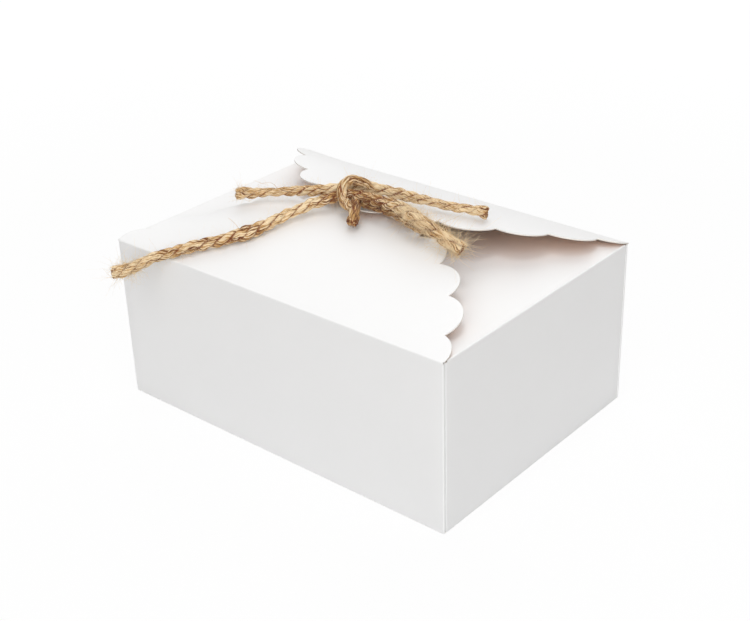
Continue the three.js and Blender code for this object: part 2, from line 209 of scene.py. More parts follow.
# Grain of the materials: features to a metre of card, and streaks along and round a fibre bundle.
CARD_CLOUD, CARD_PULP, FLOOR_GRAIN = 45.0, 1400.0, 30.0
CARD_MOTTLE = (1.2, 0.9)  # shares of the cloud and the pulp
MOTTLE_LIFT = 0.35  # how far it lightens the card, over how far it darkens it
TOOTH_HEIGHT, STREAK_HEIGHT = 0.00004, 0.0001
JUTE_PATCHES, JUTE_STREAKS = (140.0, 2.0, 1.0), (420.0, 9.0, 1.0)
JUTE_TONE = (0.36, 1.2, 2.3, 0.575)  # shares of the tint, the patches and the streaks, and the middle tone
WARM_JUTE, WARM_SHARE = (0.66, 0.36, 0.14, 1), 0.22
WARM_PATCHES = (0.52, 3.0)  # where they start, and how fast they get warmer
VALLEY_SHADE = 1.6  # colour of the painted shade between the plies, over the darkest fibre's

# Stray fibres.
HAIR_LIFT = 0.22  # how much paler they are than the twine
HAIR_ROOT = 0.40  # where one leaves a strand, as a share of its thickness
HAIR_SUNK = 0.0002  # how far under the lid's face the root of one may lie
HAIR_CLEAR = 0.0001  # least height of one over the lid
HAIR_SHORTEST = 0.0006
HAIR_CAP = 1.6  # longest of all, over the usual longest
HAIR_SHAPE = 2.0  # of the gamma distribution of their lengths
HAIR_LEAN = (0.05, 0.9)  # how far one leans out of the strand, over its way along it
HAIR_SCATTER = 0.25  # of the way it starts in
HAIR_BEND = 2.4
HAIR_DROOP = 0.3  # back towards the strand
HAIR_CURL = 8.0
HAIR_WIDTHS = (0.7, 1.3)
HAIR_TAPER = 0.55
HAIR_TINT = (0.6, 0.8)  # middle and spread
HAIR_SKEW = (0.01, 0.02, 0.05)  # keeps the outward direction of a tube's ring off the fibre's own way
HAIR_SEED = 40  # from a strand's seed to its fibres'
HAIR_POINTS = 8
HAIR_SIDES = 3
STRAY_POINTS = 16
STRAY_RADIUS = 0.00008
STRAY_TAPER = 0.5
STRAY_OUTWARD = (0.3, -0.3, 1.0)
STRAY_SIDES = 4
STRAY_TINT = -0.9
STRAY_GRAIN = (0.3, 0.01)  # steps in the grain, from one to the next and along one

# Stage and camera.
KEY_PLACE, FILL_PLACE, BACK_PLACE = (0.10, -0.13, 1.1), (0.95, -1.15, 0.95), (-0.65, 1.1, 1.25)
FILL_SIZE, BACK_SIZE = 2.4, 1.6
SKY_COLOUR = (1, 0.99, 0.978, 1)
FLOOR_RINGS, FLOOR_SPOKES = 12, 65
FLOOR_MIDDLE = 0.02  # root of the innermost ring's share of the radius
FLOOR_NEAR, FLOOR_FAR = (0.68, 0.68, 0.68, 1), (0.30, 0.24, 0.18, 1)  # as the light sees it
SHOWN_NEAR, SHOWN_FAR = (0.945, 0.945, 0.945, 1), (1, 1, 1, 1)  # as the camera sees it
FLOOR_FADE, SHOWN_FADE = (0.45, 2.0), (0.3, 1.2)  # where each starts to change, and how fast
SHOWN_STRENGTH = 1.09
SHOWN_SHARE = 0.9  # the rest of what the camera sees is the lit floor, with the object's shadow
FOCAL_LENGTH = 64.48
CAMERA_PLACE = (
    (0.764122, -0.27962, 0.581317, 0.344422),
    (0.644435, 0.370916, -0.668674, -0.393897),
    (-0.028645, 0.88557, 0.463622, 0.316245),
    (0, 0, 0, 1),
)


# Sizes and colours that a user would change

def metres(name, description, default, precision=4):
    """A property that holds a length."""
    return FloatProperty(name=name, description=description, default=default, unit="LENGTH",
                         precision=precision)


def colour(name, description, default):
    """A property that holds a colour."""
    return FloatVectorProperty(name=name, description=description, subtype="COLOR", size=4, default=default,
                               min=0, max=1)


class CakeBoxCard(bpy.types.PropertyGroup):
    """The folded card box."""

    width: metres("Width", "Outside width, along the front wall", 2 * SHORT_WALL[1].x)
    depth: metres("Depth", "Outside depth, from front to back", -2 * LONG_WALL[0].y)
    height: metres("Height", "From the table up to the lid's fold lines", FOLD_HEIGHT)
    thickness: metres("Card", "Thickness of the card", 0.0005, 5)
    fold_radius: metres("Fold radius", "Outside radius of a creased fold", 0.00065, 5)
    web_drop: metres("Web drop", "From the lid's fold line down to a corner web's top", 0.001)
    reach: metres("Lid reach", "Length of a lid flap at its last notches", 0.067)
    end_bulge: FloatProperty(name="End bulge", default=0.20,
                             description="Height over chord of the scallops at a flap's ends")
    bulge: FloatProperty(name="Bulge", description="Height over chord of the other scallops", default=0.28)
    lid_rise: metres("Front rise", "Height of the front flap's last notches over its fold", 0.014)
    lid_bow: metres("Front bow", "Radius of the front flap's bow", 0.26, 3)
    top_rise_right: metres("Back rise, right", "Height of the back flap's notches, right end", 0.0163)
    top_rise_left: metres("Back rise, left", "Height of the back flap's notches, left end", 0.0169)
    top_bow_right: metres("Back bow, right", "Radius of the back flap's bow, right end", 0.3, 3)
    top_bow_left: metres("Back bow, left", "Radius of the back flap's bow, left end", 0.17, 3)
    curl_width: metres("Curl width", "Over which the left end of a lid flap curls away", 0.044)
    lid_curl_bow: metres("Front curl", "Radius of the bow added at the front flap's left end", 0.085, 3)
    top_curl_bow: metres("Back curl", "Radius of the bow added at the back flap's left end", 0.34, 3)
    top_curl_turn: FloatProperty(name="Back curl turn", default=math.radians(9), subtype="ANGLE",
                                 description="How far the back flap's fold opens at its left end")
    dust_reach: metres("Dust flap reach", "Length of a dust flap", 0.075)
    dust_inset: metres("Dust flap inset", "From the wall's corner to the dust flap's side", 0.0025)
    dust_taper: FloatProperty(name="Dust flap taper", default=0.28,
                              description="Inward run of a side for a unit of length")
    dust_corner: metres("Dust flap corner", "Radius of a dust flap's free corners", 0.028)
    dust_rise: metres("Dust flap rise", "Height of the free end over the fold line", 0.0001, 5)
    dust_bow: metres("Dust flap bow", "Radius of the dust flap's slight bow", 2.0)
    outside: colour("Outside", "Coated white outside of the card", (0.912, 0.912, 0.912, 1))
    inside: colour("Inside", "Uncoated inside of the card", (0.74, 0.425, 0.255, 1))
    cut: colour("Cut edge", "Cut edge of the card", (0.82, 0.79, 0.74, 1))


class CakeBoxTwine(bpy.types.PropertyGroup):
    """The laid jute twine."""

    diameter: metres("Diameter", "Nominal diameter of the twine", 0.0046)
    plies: IntProperty(name="Plies", description="Plies laid together", default=3, min=2, max=4)
    bundles: IntProperty(name="Bundles", description="Fibre bundles round one ply", default=24,
                         min=6, max=40)
    lay: metres("Lay", "Length of one turn of the plies", 0.0175)
    spin: metres("Spin", "Length of one turn of the fibres, the other way", 0.018)
    hairs: FloatProperty(name="Hairs", description="Stray fibres on a metre of twine", default=9000)
    hair_width: metres("Hair width", "Thickness of a stray fibre", 0.00006, 6)
    dark: colour("Dark fibre", "Colour of the darkest fibres", (0.15, 0.042, 0.012, 1))
    tan: colour("Tan fibre", "Colour of most fibres", (0.67, 0.38, 0.135, 1))
    pale: colour("Pale fibre", "Colour of the palest fibres", (0.92, 0.745, 0.49, 1))


class CakeBoxStage(bpy.types.PropertyGroup):
    """The floor, the lamps and the sky."""

    floor: metres("Floor", "Radius of the floor", 3.0)
    key: FloatProperty(name="Soft box", description="Power of the soft box over the table",
                       default=2.1, unit="POWER")
    key_size: metres("Soft box size", "Side of the soft box", 0.34)
    sky: FloatProperty(name="Sky", description="Strength of the even light from all round", default=0.32)
    fill: FloatProperty(name="Fill", description="Power of the large soft lamp at the front", default=27.5,
                        unit="POWER")
    back: FloatProperty(name="Back lamp", description="Power of the large soft lamp behind", default=11.0,
                        unit="POWER")


def card():
    return bpy.context.scene.cake_box_card


def twine():
    return bpy.context.scene.cake_box_twine


# Materials

class Wire:
    """A shader socket. Python's operators on it add Math nodes, and give the last node's output."""

    def __init__(self, paint, socket):
        self.paint = paint
        self.socket = socket

    def math(self, operation, *values):
        return self.paint.node("ShaderNodeMath", {"operation": operation}, dict(enumerate(values)))

    def __add__(self, other):
        return self.math("ADD", self, other)

    def __sub__(self, other):
        return self.math("SUBTRACT", self, other)

    def __rsub__(self, other):
        return self.math("SUBTRACT", other, self)

    def __mul__(self, other):
        return self.math("MULTIPLY", self, other)

    __radd__ = __add__
    __rmul__ = __mul__


class Paint:
    """A material, or a world, made node by node."""

    def __init__(self, name, kind="materials"):
        self.made = getattr(bpy.data, kind).new(name)
        self.made.use_nodes = True
        self.tree = self.made.node_tree
        self.tree.nodes.clear()

    def node(self, kind, settings=None, inputs=None, output=0):
        """Adds a node of a kind, sets its settings, then its sockets, and gives one of its outputs."""
        made = self.tree.nodes.new(kind)
        for key, value in (settings or {}).items():
            if key == "stops":
                for extra in range(len(value) - len(made.color_ramp.elements)):
                    made.color_ramp.elements.new((extra + 1) / len(value))
                for element, (place, shade) in zip(made.color_ramp.elements, value):
                    element.position, element.color = place, shade
            else:
                setattr(made, key, value)
        for key, value in (inputs or {}).items():
            if isinstance(value, Wire):
                self.tree.links.new(value.socket, made.inputs[key])
            else:
                made.inputs[key].default_value = value
        return Wire(self, made.outputs[output])

    def noise(self, vector, scale, detail=3.0, roughness=0.5):
        """A soft random value from 0 to 1, with features of about 1 / scale."""
        return self.node("ShaderNodeTexNoise", {"noise_dimensions": "3D"},
                         {"Vector": vector, "Scale": scale, "Detail": detail, "Roughness": roughness})

    def blend(self, share, first, second):
        """The first colour at share 0, the second at share 1."""
        return self.node("ShaderNodeMix", {"data_type": "RGBA", "clamp_factor": True},
                         {0: share, 6: first, 7: second}, 2)

    def finish(self, sockets):
        """Ends the material in a Principled shader with these sockets."""
        return self.end_in(self.node("ShaderNodeBsdfPrincipled", None, sockets))

    def end_in(self, shader, kind="ShaderNodeOutputMaterial"):
        """Ends the nodes in a shader, and gives the material or world."""
        output = self.tree.nodes.new(kind)
        self.tree.links.new(shader.socket, output.inputs["Surface"])
        return self.made


def shaded(shade, factor):
    """A colour made darker or lighter by a factor."""
    return (*(min(1.0, c * factor) for c in shade[:3]), 1)


def card_paint(name, base, mottle, roughness, tooth):
    """Card: a colour with a faint cloudy mottle and pulp specks, and a fine tooth in its surface."""
    paint = Paint(name)
    place = paint.node("ShaderNodeTexCoord", None, None, "Object")
    cloud = paint.noise(place, CARD_CLOUD, 4.0)
    pulp = paint.noise(place, CARD_PULP, 3.0, 0.6)
    share = (cloud - 0.5) * CARD_MOTTLE[0] + (pulp - 0.5) * CARD_MOTTLE[1] + 0.5
    mottled = paint.blend(share, shaded(base, 1 - mottle), shaded(base, 1 + MOTTLE_LIFT * mottle))
    bump = paint.node("ShaderNodeBump", None, {"Strength": tooth, "Distance": TOOTH_HEIGHT, "Height": pulp})
    return paint.finish({"Base Color": mottled, "Roughness": (pulp - 0.5) * 0.2 + roughness, "Normal": bump,
                         "Specular IOR Level": 0.3})


def jute_paint(name, sizes, lift=0.0):
    """Jute: streaks along each fibre bundle, on the bundle's tint, which carries painted light and shade,
    and painted shade between the plies.
    """
    paint = Paint(name)
    along = paint.node("ShaderNodeUVMap", {"uv_map": "strand"})
    # tint: each bundle's tone with the strand's painted light and shade; depth: painted shade between the
    # plies and on the core
    tint = paint.node("ShaderNodeAttribute", {"attribute_name": "tint"}, None, "Fac")
    depth = paint.node("ShaderNodeAttribute", {"attribute_name": "depth"}, None, "Fac")
    broad = paint.node("ShaderNodeMapping", None, {"Vector": along, "Scale": JUTE_PATCHES})
    fine = paint.node("ShaderNodeMapping", None, {"Vector": along, "Scale": JUTE_STREAKS})
    patches = paint.noise(broad, 1.0, 3.0, 0.6)
    streaks = paint.noise(fine, 1.0, 4.0, 0.65)
    tinted, patched, streaked, middle = JUTE_TONE
    tone = tint * tinted + (patches - 0.5) * patched + (streaks - 0.5) * streaked + (middle + lift)
    ramp = paint.node("ShaderNodeValToRGB", {"stops": (
        (0.0, sizes.dark), (0.28, shaded(sizes.tan, 0.62)), (0.55, sizes.tan),
        (0.78, shaded(sizes.pale, 0.87)), (1.0, sizes.pale))}, {0: tone})
    warm = paint.blend((patches - WARM_PATCHES[0]) * WARM_PATCHES[1], ramp, WARM_JUTE)
    # the depth blends in the painted shade colour between the plies
    base = paint.blend(depth, paint.blend(WARM_SHARE, ramp, warm), shaded(sizes.dark, VALLEY_SHADE))
    bump = paint.node("ShaderNodeBump", None,
                      {"Strength": 0.6, "Distance": STREAK_HEIGHT, "Height": streaks})
    return paint.finish({"Base Color": base, "Roughness": 0.62 + streaks * 0.25, "Normal": bump,
                         "Specular IOR Level": 0.25, "Sheen Weight": 0.15, "Sheen Roughness": 0.5})


def floor_paint():
    """A white floor that shows as plain white, with a light touch of the object's shadow."""
    paint = Paint("white_floor")
    place = paint.node("ShaderNodeTexCoord", None, None, "Object")
    far = paint.node("ShaderNodeVectorMath", {"operation": "LENGTH"}, {0: place}, "Value")
    grain = paint.noise(place, FLOOR_GRAIN) * 0.1
    rays = paint.node("ShaderNodeLightPath", None, None, "Is Camera Ray")
    fade = (far - FLOOR_FADE[0]) * FLOOR_FADE[1] + grain
    lit = paint.blend(fade * (1.0 - rays), FLOOR_NEAR, FLOOR_FAR)
    real = paint.node("ShaderNodeBsdfDiffuse", None, {"Color": lit})
    shown = paint.blend((far - SHOWN_FADE[0]) * SHOWN_FADE[1], SHOWN_NEAR, SHOWN_FAR)
    white = paint.node("ShaderNodeEmission", None, {"Color": shown, "Strength": SHOWN_STRENGTH})
    return paint.end_in(paint.node("ShaderNodeMixShader", None, {0: rays * SHOWN_SHARE, 1: real, 2: white}))


def material(name, make, *values):
    """A material by name, made the first time it is asked for."""
    return bpy.data.materials.get(name) or make(name, *values)


def card_materials():
    """Outside, inside and cut edge of the card, in the order of a panel's material slots."""
    sizes = card()
    return (
        material("coated_white_card", card_paint, sizes.outside, 0.012, 0.5, 0.12),
        material("uncoated_card_inside", card_paint, sizes.inside, 0.10, 0.75, 0.3),
        material("cut_card_edge", card_paint, sizes.cut, 0.08, 0.8, 0.4),
    )


# Meshes

def piece(name, points, faces, materials, uv=None, values=None, slots=None):
    """An object of points and faces, at the origin. uv is for each face corner, values for each point."""
    mesh = bpy.data.meshes.new(name)
    mesh.from_pydata(points.tolist(), [], faces)
    if uv is not None:
        mesh.uv_layers.new(name="strand").data.foreach_set("uv", uv.astype(np.float32).ravel())
    for key, value in (values or {}).items():
        held = mesh.attributes.new(key, "FLOAT", "POINT")
        held.data.foreach_set("value", value.astype(np.float32).ravel())
    if slots is not None:
        mesh.polygons.foreach_set("material_index", slots.astype(np.int32))
    mesh.polygons.foreach_set("use_smooth", np.ones(len(faces), bool))
    for one in materials:
        mesh.materials.append(one)
    mesh.update()
    made = bpy.data.objects.new(name, mesh)
    bpy.context.scene.collection.objects.link(made)
    return made


def grid_faces(rows, columns, start):
    """Four corners of each cell of a grid of points."""
    i, j = np.meshgrid(np.arange(rows - 1), np.arange(columns - 1), indexing="ij")
    a = (i * columns + j + start).ravel()
    return np.stack([a, a + 1, a + 1 + columns, a + columns], 1)


def sheet(name, outer, inner):
    """A closed sheet of card from two grids of points, its outside and its inside, joined at their rims."""
    rows, columns = outer.shape[:2]
    count = rows * columns
    number = np.arange(count).reshape(rows, columns)
    rim = np.concatenate([number[0, :], number[1:, -1], number[-1, -2::-1], number[-2:0:-1, 0]])
    following = np.roll(rim, -1)
    sides = np.stack([rim, following, following + count, rim + count], 1)
    faces = np.concatenate([grid_faces(rows, columns, 0), grid_faces(rows, columns, count), sides])
    cells = (rows - 1) * (columns - 1)
    slots = np.repeat([0, 1, 2], [cells, cells, len(sides)])
    points = np.concatenate([outer.reshape(-1, 3), inner.reshape(-1, 3)])
    made = piece(name, points, faces.tolist(), card_materials(), slots=slots)
    shape = bmesh.new()
    shape.from_mesh(made.data)
    bmesh.ops.remove_doubles(shape, verts=shape.verts, dist=MERGE)
    bmesh.ops.dissolve_degenerate(shape, edges=shape.edges, dist=THIN)
    bmesh.ops.recalc_face_normals(shape, faces=shape.faces)
    shape.to_mesh(made.data)
    shape.free()
    made.data.set_sharp_from_angle(angle=SMOOTH_ANGLE)
    return made


def panel(name, outer, inner, body, *nodes):
    """A sheet of card that stands for CAD nodes and rides on a body."""
    made = sheet(name, outer, inner)
    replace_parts(made, *nodes)
    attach(made, body)


def on_side(points, side):
    """Points of a wall that faces -Y, outside on y = 0 and fold line on z = 0, put on a side of the box."""
    sizes = card()
    x, y, z = np.moveaxis(points, -1, 0)
    half_width, half_depth = sizes.width / 2, sizes.depth / 2
    placed = {
        "front": (x, y - half_depth),
        "back": (-x, half_depth - y),
        "right": (half_width - y, x),
        "left": (y - half_width, -x),
    }[side]
    return np.stack([*placed, z + sizes.height], -1)


def bow(side, x):
    """Angle at which a flap leaves its fold, and how fast it bends down, at places x along the fold.

    A sheet of radius r that has risen by h at a length l leaves at l / 2r + asin(h / (2r sin(l / 2r)))."""
    sizes = card()

    def leave(radius, rise, length):
        half = length / (2 * radius)
        return half + math.asin(rise / (2 * radius * math.sin(half)))

    if side in ("left", "right"):
        start = leave(sizes.dust_bow, sizes.dust_rise, sizes.dust_reach)
        return np.full_like(x, start), np.full_like(x, 1 / sizes.dust_bow)
    from_left = x if side == "front" else -x  # a wall's own x runs the other way on the far side of the box
    near = np.clip((sizes.curl_width - sizes.width / 2 - from_left) / sizes.curl_width, 0, 1)
    near = near * near * (3 - 2 * near)
    if side == "front":
        start = leave(sizes.lid_bow, sizes.lid_rise, sizes.reach)
        return np.full_like(x, start), 1 / sizes.lid_bow + near / sizes.lid_curl_bow
    share = x / sizes.width + 0.5
    starts = [leave(sizes.top_bow_right, sizes.top_rise_right, sizes.reach),
              leave(sizes.top_bow_left, sizes.top_rise_left, sizes.reach)]
    curves = [1 / sizes.top_bow_right, 1 / sizes.top_bow_left]
    return (starts[0] + share * (starts[1] - starts[0]) + near * sizes.top_curl_turn,
            curves[0] + share * (curves[1] - curves[0]) + near / sizes.top_curl_bow)


def bowed(side, x, s, down=0.0):
    """Points of a bowed flap at x along the fold and s along the sheet, moved down along its normal.

    y = (sin a - sin(a - s c)) / c and z = (cos(a - s c) - cos a) / c, for a start angle a and a curve c."""
    a, c = bow(side, x)
    slope = a - s * c
    y = (np.sin(a) - np.sin(slope)) / c + down * np.sin(slope)
    z = (np.cos(slope) - np.cos(a)) / c - down * np.cos(slope)
    return np.stack([x, y, z], -1)


def fold_start(side, x):
    """Length from the fold line at which a fold's round ends: r tan(turn / 2)."""
    a, _ = bow(side, x)
    return card().fold_radius * np.tan((math.pi / 2 - a) / 2)


def lid_outline():
    """Foot on the fold line, place along it, and length along the sheet, for points round a lid flap.

    Each scallop is an arc that stands a share of its chord out from it."""
    sizes = card()
    half = sizes.width / 2
    left = np.array([(half * (x - 1), sizes.reach * s) for x, s in NOTCHES])
    corners = np.concatenate([[(-half, 0)], left, left[::-1] * (-1, 1), [(half, 0)]])
    feet = np.concatenate([[-half], corners[1:-1, 0] * FOOT_SHARE, [half]])
    p, q = corners[:-1], corners[1:]
    bulge = np.full(len(p), sizes.bulge)
    bulge[[0, -1]] = sizes.end_bulge
    span = np.linalg.norm(q - p, axis=1)
    rise = bulge * span
    radius = (span ** 2 / 4 + rise ** 2) / (2 * rise)
    along = (q - p) / span[:, None]
    out = np.stack([-along[:, 1], along[:, 0]], 1)
    centre = (p + q) / 2 + out * (rise - radius)[:, None]
    share = np.arange(SCALLOP_STEPS) / SCALLOP_STEPS
    turn = np.arcsin(span / 2 / radius)[:, None] * (2 * share - 1)
    arcs = (centre[:, None] + along[:, None] * (radius[:, None] * np.sin(turn))[..., None]
            + out[:, None] * (radius[:, None] * np.cos(turn))[..., None])
    foot = feet[:-1, None] + share * np.diff(feet)[:, None]
    x = np.append(arcs[..., 0].ravel(), half)
    s = np.append(arcs[..., 1].ravel(), 0.0)
    return np.append(foot.ravel(), half), np.clip(x, -half, half), s


def dust_outline():
    """The same for a dust flap: tapered sides that run into round free corners.

    The half width falls by the taper for a unit of length, and by r (1 - cos t) more round a corner."""
    sizes = card()
    half = sizes.depth / 2 - sizes.dust_inset
    end = half - sizes.dust_taper * sizes.dust_reach
    corner = min(sizes.dust_corner, end - sizes.thickness)
    straight = np.linspace(0, sizes.dust_reach - corner, DUST_SIDE_STEPS, endpoint=False)
    turn = np.linspace(0, math.pi / 2, DUST_CORNER_STEPS)
    s = np.concatenate([straight, sizes.dust_reach - corner + corner * np.sin(turn)])
    x = half - sizes.dust_taper * s
    x[DUST_SIDE_STEPS:] -= corner * (1 - np.cos(turn))
    foot = np.linspace(half, DUST_FOOT * half, len(s))
    middle = np.linspace(1, -1, DUST_END_STEPS)[1:-1]
    return (np.concatenate([-foot, -middle * foot[-1], foot[::-1]]),
            np.concatenate([-x, -middle * x[-1], x[::-1]]),
            np.concatenate([s, np.full(len(middle), s[-1]), s[::-1]]))


def flap_sheet(side, lid):
    """A flap from where its fold ends to its outline.

    A grid line runs straight along the sheet from a foot to the outline, and is then bowed."""
    foot, x, s = lid_outline() if lid else dust_outline()
    row = np.linspace(0, 1, FLAP_ROWS)[:, None]
    start = fold_start(side, foot)
    across = foot + row * (x - foot)
    length = np.maximum(start + row * (s - start), start * (1 - row))
    outer = bowed(side, across, length)
    inner = bowed(side, across, length, card().thickness)
    panel(f"{side}_flap_card", on_side(outer, side), on_side(inner, side), SIDES[side][0], f"{side}_flap")


def crease_sheet(side, lid):
    """The round of a flap's fold, from the wall's plane to the flap's.

    At an angle t, a face of radius r is R - r cos t in from the wall's outside and r sin t over the
    wall's end, for the fold's radius R."""
    sizes = card()
    foot = (lid_outline() if lid else dust_outline())[0]
    a, _ = bow(side, foot)
    start = fold_start(side, foot)
    turn = np.linspace(0, 1, CREASE_ROWS)[:, None] * (math.pi / 2 - a)

    def round_at(radius):
        y = sizes.fold_radius - radius * np.cos(turn)
        z = radius * np.sin(turn) - start
        return np.stack([np.broadcast_to(foot, y.shape), y, z], -1)

    made = sheet(f"{side}_flap_crease", on_side(round_at(sizes.fold_radius), side),
                 on_side(round_at(sizes.fold_radius - sizes.thickness), side))
    middle = len(foot) // 2
    upper = on_side(bowed(side, foot, start)[middle], side)
    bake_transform(made)


def wall_sheet(side, lid):
    """A wall with an eighth of a round at its foot, which meets the base's, and rounds at its sides.

    Each point is a point of a flat inner frame plus the radius along a normal, which turns by one angle
    about the upright edges and by another about the lower edge. A long wall's upright edges turn right
    back to meet the webs, and a short wall's turn into the webs by a quarter."""
    sizes = card()
    r = sizes.fold_radius
    width = sizes.width if lid else sizes.depth
    # a short wall stops short of the box's corner by the layers that lie against the long wall
    edge = width / 2 - r - (0 if lid else 2 * (sizes.thickness + LAYER_GAP))
    sweep = math.pi if lid else math.pi / 2
    flat = np.linspace(-edge, edge, WALL_STEPS)
    ends = np.linspace(0, sweep, EDGE_STEPS + 1)[1:]
    x = np.concatenate([np.full(EDGE_STEPS, -edge), flat, np.full(EDGE_STEPS, edge)])
    about = np.concatenate([-ends[::-1], np.zeros(len(flat)), ends])
    top = -fold_start(side, np.clip(x, -width / 2, width / 2))
    foot = np.linspace(math.pi / 4, 0, FOOT_STEPS)[:, None]
    rise = np.linspace(0, 1, RISE_STEPS + 1)[1:, None]
    z = np.concatenate([np.broadcast_to(r - sizes.height, (FOOT_STEPS, len(x))),
                        (r - sizes.height) + rise * (top - (r - sizes.height))])
    tilt = np.concatenate([foot, np.zeros((RISE_STEPS, 1))])

    def face(radius):
        out_x = np.sin(about) * np.cos(tilt)
        out_y = -np.cos(about) * np.cos(tilt)
        out_z = np.broadcast_to(-np.sin(tilt), z.shape)
        return np.stack([x + radius * out_x, r + radius * out_y, z + radius * out_z], -1)

    panel(f"{side}_wall_card", on_side(face(r), side), on_side(face(r - sizes.thickness), side), "tray",
          f"{side}_wall")


def base_sheet():
    """The base, with an eighth of a round along each edge that meets the walls' rounds.

    Each point is a point of a flat inner frame plus the radius along a normal, which leans out at the
    edges."""
    sizes = card()
    r = sizes.fold_radius
    half_x, half_y = sizes.width / 2 - r, sizes.depth / 2 - r

    def spread(half):
        flat = np.linspace(-half, half, BASE_STEPS)
        ends = np.linspace(0, math.pi / 4, BASE_EDGE_STEPS + 1)[1:]
        return (np.concatenate([np.full(BASE_EDGE_STEPS, -half), flat, np.full(BASE_EDGE_STEPS, half)]),
                np.concatenate([-ends[::-1], np.zeros(BASE_STEPS), ends]))

    x, lean_x = spread(half_x)
    y, lean_y = (v[:, None] for v in spread(half_y))

    def face(radius):
        down = -np.cos(lean_x) * np.cos(lean_y)
        normal = np.stack(np.broadcast_arrays(
            np.sin(lean_x) * np.cos(lean_y), np.sin(lean_y) * np.cos(lean_x), down), -1)
        normal /= np.linalg.norm(normal, axis=-1, keepdims=True)
        frame = np.stack(np.broadcast_arrays(x, y, r), -1)
        return frame + radius * normal

    panel("base_card", face(r), face(r - sizes.thickness), "tray", "base_panel")


def web_sheet(front, left):
    """A corner web, folded on its diagonal and laid flat on the long wall.

    At each height the sheet runs in from the corner, turns back in a half round at the diagonal, and
    returns: run + r sin t inwards and r cos t out from the hairpin's middle. The lengths grow with the
    height, from nothing at the bottom corner."""
    sizes = card()
    r = sizes.fold_radius
    middle = r + sizes.thickness + LAYER_GAP  # from the wall's outside to the middle of the hairpin
    z = np.linspace(2 * r, sizes.height - sizes.web_drop, WEB_ROWS)[:, None]
    reach = np.minimum(z - 2 * r, (sizes.width - WEB_GAP) / 2)
    run = np.linspace(0, 1, WEB_STEPS)[:-1]
    turn = np.concatenate([np.zeros(len(run)), np.linspace(0, math.pi, HAIRPIN_STEPS),
                           np.full(len(run), math.pi)])
    share = np.concatenate([run, np.ones(HAIRPIN_STEPS), run[::-1]])

    def face(radius):
        inward = reach * share + radius * np.sin(turn)
        depth = middle - radius * np.cos(turn)
        x = sizes.width / 2 - r - inward
        y = sizes.depth / 2 - depth
        return np.stack(np.broadcast_arrays(-x if left else x, -y if front else y, z), -1)

    name = f"{'front' if front else 'back'}_{'left' if left else 'right'}"
    panel(f"{name}_web_card", face(r - sizes.thickness), face(r), "tray", f"{name}_gusset_outer",
          f"{name}_gusset_inner")


def lid_height(x, y):
    """Height of the lid's upper face over the table at places on the box, or minus one beside it.

    It undoes the bowed sheet: the slope at a run y is asin(sin a - c y)."""
    sizes = card()
    top = np.full(x.shape, -1.0)
    for side, run, local in (("front", y + sizes.depth / 2, x), ("back", sizes.depth / 2 - y, -x)):
        a, c = bow(side, local)
        inside = (run > 0) & (run < sizes.reach * LID_SHARE) & (np.abs(x) < sizes.width / 2)
        slope = np.arcsin(np.clip(np.sin(a) - c * run, -1, 1))
        z = sizes.height + (np.cos(slope) - np.cos(a)) / c
        top = np.where(inside, np.maximum(top, z), top)
    return top


# Twine

class Strand:
    """A smooth route through points, with a frame at each station.

    The curve is a centripetal Catmull-Rom spline, resampled at even lengths. The frame's third axis is
    the reference direction made square to the route, and its second is their cross product."""

    def __init__(self, points, reference, size, lay=None, phase=0.0, seed=1, shade=((0, 0),)):
        knots = np.array(points, float) + (0, 0, TIE_HEIGHT)
        knots = np.concatenate([[2 * knots[0] - knots[1]], knots, [2 * knots[-1] - knots[-2]]])
        steps = np.sqrt(np.linalg.norm(np.diff(knots, axis=0), axis=1))
        p0, p1, p2, p3 = knots[:-3], knots[1:-2], knots[2:-1], knots[3:]
        d0, d1, d2 = (steps[k:len(steps) - 2 + k, None] for k in range(3))
        m1 = ((p1 - p0) / d0 - (p2 - p0) / (d0 + d1) + (p2 - p1) / d1) * d1
        m2 = ((p2 - p1) / d1 - (p3 - p1) / (d1 + d2) + (p3 - p2) / d2) * d1
        t = np.linspace(0, 1, CURVE_STEPS, endpoint=False)[None, :, None]
        a, b, c, d = (v[:, None] for v in (
            p1, m1, -3 * p1 + 3 * p2 - 2 * m1 - m2, 2 * p1 - 2 * p2 + m1 + m2))
        dense = np.concatenate([(a + b * t + c * t ** 2 + d * t ** 3).reshape(-1, 3), knots[-2:-1]])
        gone = np.concatenate([[0], np.cumsum(np.linalg.norm(np.diff(dense, axis=0), axis=1))])
        self.length = gone[-1]
        self.s = np.linspace(0, self.length, int(self.length / STATION) + 1)
        self.centre = np.stack([np.interp(self.s, gone, dense[:, k]) for k in range(3)], 1)
        tangent = np.gradient(self.centre, self.s, axis=0)
        self.tangent = tangent / np.linalg.norm(tangent, axis=1, keepdims=True)
        up = np.array(reference, float) - (self.tangent @ np.array(reference, float))[:, None] * self.tangent
        self.up = up / np.linalg.norm(up, axis=1, keepdims=True)
        self.side = np.cross(self.up, self.tangent)
        places, sizes = np.array(size).T
        self.size = np.interp(self.s, places, sizes)
        places, turns = np.array(lay or [(0, twine().lay)]).T
        rate = 2 * math.pi / np.interp(self.s, places, turns)
        self.turn = phase - np.concatenate([[0], np.cumsum((rate[1:] + rate[:-1]) / 2 * np.diff(self.s))])
        self.seed = seed
        # shade: a tint offset along the strand, partly tone and partly painted light and shade
        places, tone_and_painted_light = np.array(shade, float).T
        self.shade = np.interp(self.s, places, tone_and_painted_light)

    def between(self, start, end):
        """Stations from one length to another."""
        return slice(np.searchsorted(self.s, start - 1e-9), np.searchsorted(self.s, end + 1e-9))

    def line(self, start, end, spacing=0.0015):
        """Points of the route between two lengths, as plain lists."""
        places = np.linspace(start, end, max(2, int((end - start) / spacing)))
        return np.stack([np.interp(places, self.s, self.centre[:, k]) for k in range(3)], 1).tolist()


